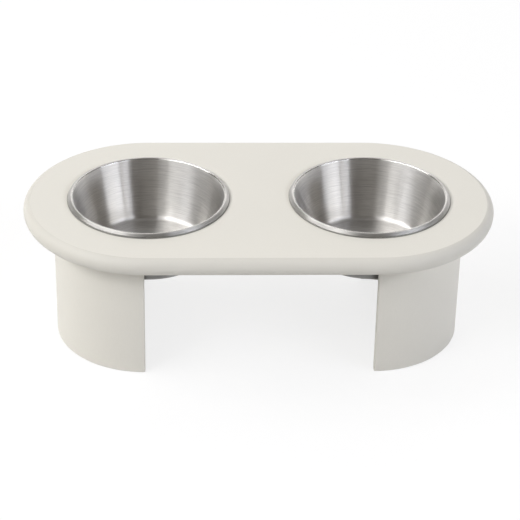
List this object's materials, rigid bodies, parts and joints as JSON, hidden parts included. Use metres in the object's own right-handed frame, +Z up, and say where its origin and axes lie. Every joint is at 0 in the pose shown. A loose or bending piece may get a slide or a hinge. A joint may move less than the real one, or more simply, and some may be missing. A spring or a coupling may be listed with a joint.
{
  "type": "raised pet bowl stand",
  "caption": "Oblong painted board on half-round legs that raises lift-out steel bowls for pet food and water.",
  "frame": {"origin": "on the floor, under the middle of the board", "axes": "+X along the board towards the right bowl, +Y to the back, +Z up"},
  "size_m": [0.4, 0.21, 0.1299],
  "materials": {
    "lacquered_mdf": "matte lacquer",
    "lacquered_plywood": "matte lacquer",
    "brushed_steel": "brushed round the bowl",
    "beech": "bare",
    "rubber": "matte"
  },
  "bodies": {
    "stand": {"top_board": "lacquered_mdf", "left_leg": "lacquered_plywood", "right_leg": "lacquered_plywood", "left_leg_dowels": "beech", "right_leg_dowels": "beech", "left_front_foot_pad": "rubber", "left_outer_foot_pad": "rubber", "left_rear_foot_pad": "rubber", "right_front_foot_pad": "rubber", "right_outer_foot_pad": "rubber", "right_rear_foot_pad": "rubber"},
    "left_bowl": {"left_bowl": "brushed_steel"},
    "right_bowl": {"right_bowl": "brushed_steel"}
  },
  "joints": [
    {"name": "left_bowl_lift", "type": "slide", "parent": "stand", "child": "left_bowl", "axis": [0, 0, 1], "range_m": [0, 0.08]},
    {"name": "right_bowl_lift", "type": "slide", "parent": "stand", "child": "right_bowl", "axis": [0, 0, 1], "range_m": [0, 0.08]}
  ]
}
